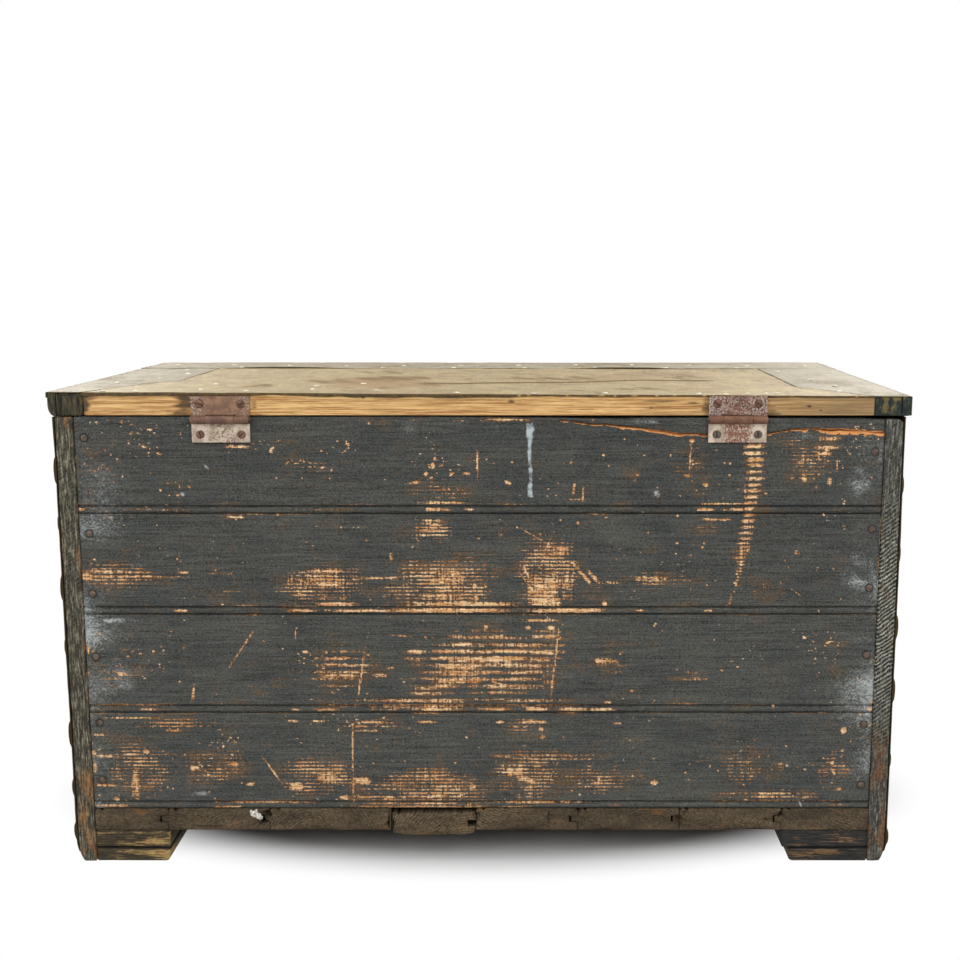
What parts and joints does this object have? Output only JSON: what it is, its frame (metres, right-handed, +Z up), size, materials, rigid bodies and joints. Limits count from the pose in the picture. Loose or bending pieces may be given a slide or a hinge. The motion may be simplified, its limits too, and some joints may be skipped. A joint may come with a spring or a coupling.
{
  "type": "lidded chest",
  "caption": "Low lidded storage chest of pine boards on stacked block feet, with sheet brass on the lid, front and ends, a bare board back and a lid on butt hinges.",
  "frame": {"origin": "on the ground under the middle of the chest's overall box", "axes": "+X along the length, to the right seen from the front; the front faces -Y and the hinges are at +Y; +Z up"},
  "size_m": [0.7544, 0.3838, 0.434],
  "materials": {
    "black_painted_pine": "thin black paint, worn through to orange pine",
    "bare_pine": "planed, aged and oiled",
    "weathered_pine": "sawn, dirty and stained dark",
    "sheet_brass": "pressed relief, aged and dull",
    "rusted_steel": "pressed, rusted and rubbed"
  },
  "bodies": {
    "carcass": {"back_board_1": "black_painted_pine", "back_board_2": "black_painted_pine", "back_board_3": "black_painted_pine", "back_board_4": "black_painted_pine", "front_board_lower": "bare_pine", "front_board_upper": "bare_pine", "left_end_board_front": "weathered_pine", "left_end_board_rear": "weathered_pine", "right_end_board_front": "weathered_pine", "right_end_board_rear": "weathered_pine", "floor_board_1": "weathered_pine", "floor_board_2": "weathered_pine", "floor_board_3": "weathered_pine", "floor_board_4": "weathered_pine", "floor_board_5": "weathered_pine", "floor_board_6": "weathered_pine", "floor_board_7": "weathered_pine", "floor_board_8": "weathered_pine", "foot_front_left_lower": "weathered_pine", "foot_front_left_upper": "weathered_pine", "foot_front_right_lower": "weathered_pine", "foot_front_right_upper": "weathered_pine", "foot_rear_left_lower": "weathered_pine", "foot_rear_left_upper": "weathered_pine", "foot_rear_right_lower": "weathered_pine", "foot_rear_right_upper": "weathered_pine", "corner_cleat_front_left": "bare_pine", "corner_cleat_front_right": "bare_pine", "corner_cleat_rear_left": "bare_pine", "corner_cleat_rear_right": "bare_pine", "front_brass_sheet": "sheet_brass", "left_end_brass_sheet": "sheet_brass", "right_end_brass_sheet": "sheet_brass", "hinge_left_body_leaf": "rusted_steel", "hinge_left_pin": "rusted_steel", "hinge_left_body_screw_1": "rusted_steel", "hinge_left_body_screw_2": "rusted_steel", "hinge_right_body_leaf": "rusted_steel", "hinge_right_pin": "rusted_steel", "hinge_right_body_screw_1": "rusted_steel", "hinge_right_body_screw_2": "rusted_steel"},
    "lid": {"lid_plank_1": "bare_pine", "lid_plank_2": "bare_pine", "lid_plank_3": "bare_pine", "lid_plank_4": "bare_pine", "lid_clamp_left": "weathered_pine", "lid_clamp_right": "weathered_pine", "lid_edging_front": "weathered_pine", "lid_edging_left": "weathered_pine", "lid_edging_right": "weathered_pine", "lid_brass_front": "sheet_brass", "lid_brass_left": "sheet_brass", "lid_brass_middle": "sheet_brass", "lid_brass_right": "sheet_brass", "hinge_left_lid_leaf": "rusted_steel", "hinge_left_lid_screw_1": "rusted_steel", "hinge_left_lid_screw_2": "rusted_steel", "hinge_right_lid_leaf": "rusted_steel", "hinge_right_lid_screw_1": "rusted_steel", "hinge_right_lid_screw_2": "rusted_steel"}
  },
  "joints": [
    {"name": "lid_hinge", "type": "hinge", "parent": "carcass", "child": "lid", "pos_m": [0, 0.1883, 0.4102], "axis": [-1, 0, 0], "range_deg": [0, 180]}
  ]
}
